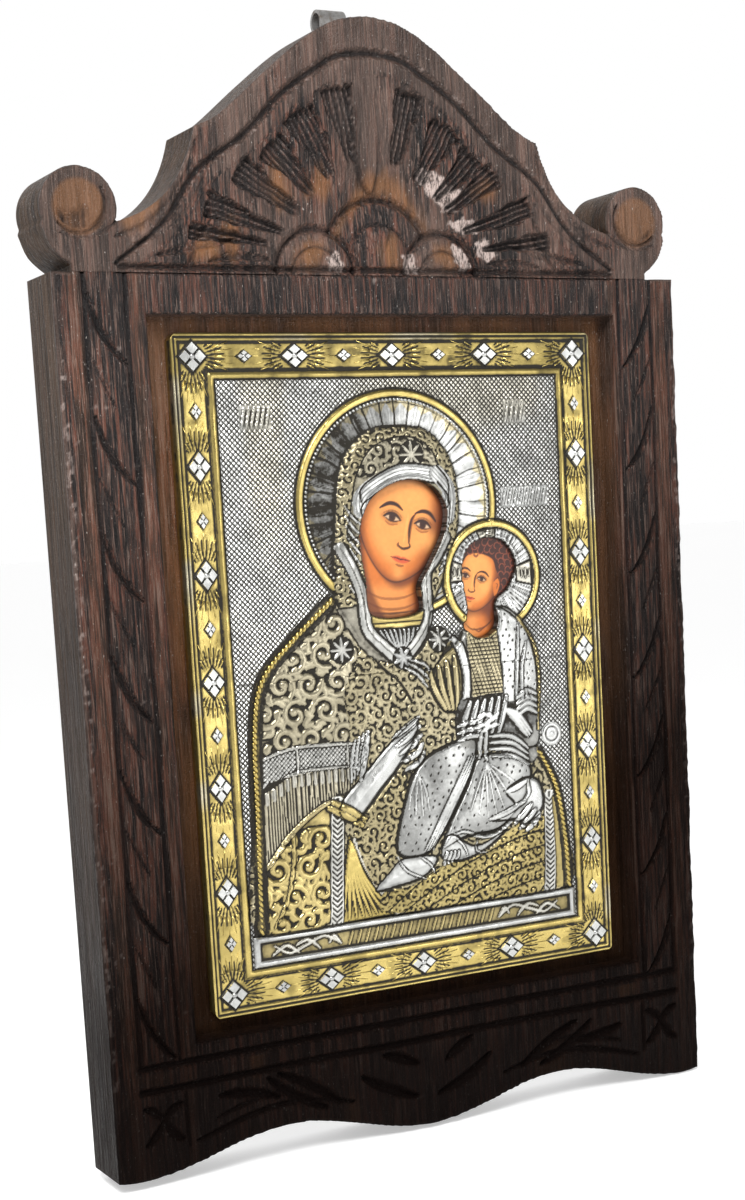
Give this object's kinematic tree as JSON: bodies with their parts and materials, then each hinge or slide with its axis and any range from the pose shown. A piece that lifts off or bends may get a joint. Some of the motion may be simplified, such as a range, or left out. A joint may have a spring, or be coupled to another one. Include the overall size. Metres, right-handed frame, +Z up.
{
  "type": "icon panel",
  "caption": "Carved dark wooden panel with a fan crest, holding an embossed gilt and silver metal icon cover over a painted board, with a strap hanger.",
  "frame": {"origin": "middle of the hanger's eye, in the middle of the strap's width", "axes": "+Z up along the panel, the carved front faces -Y, +X to the right of a person facing the front"},
  "size_m": [0.2643, 0.0351, 0.4293],
  "materials": {
    "dark_wood": "dark stained softwood with red-brown grain, worn varnish and pale bare chips",
    "painted_board": "orange-brown paint with dark outlines under a satin varnish",
    "gilt_silver": "embossed silver with yellow gilding and dark patina in the hollows",
    "grey_metal": "dull grey"
  },
  "bodies": {
    "root": {"carved_board": "dark_wood", "picture_board": "painted_board", "metal_cover": "gilt_silver", "hanger_strap": "grey_metal"}
  },
  "joints": []
}
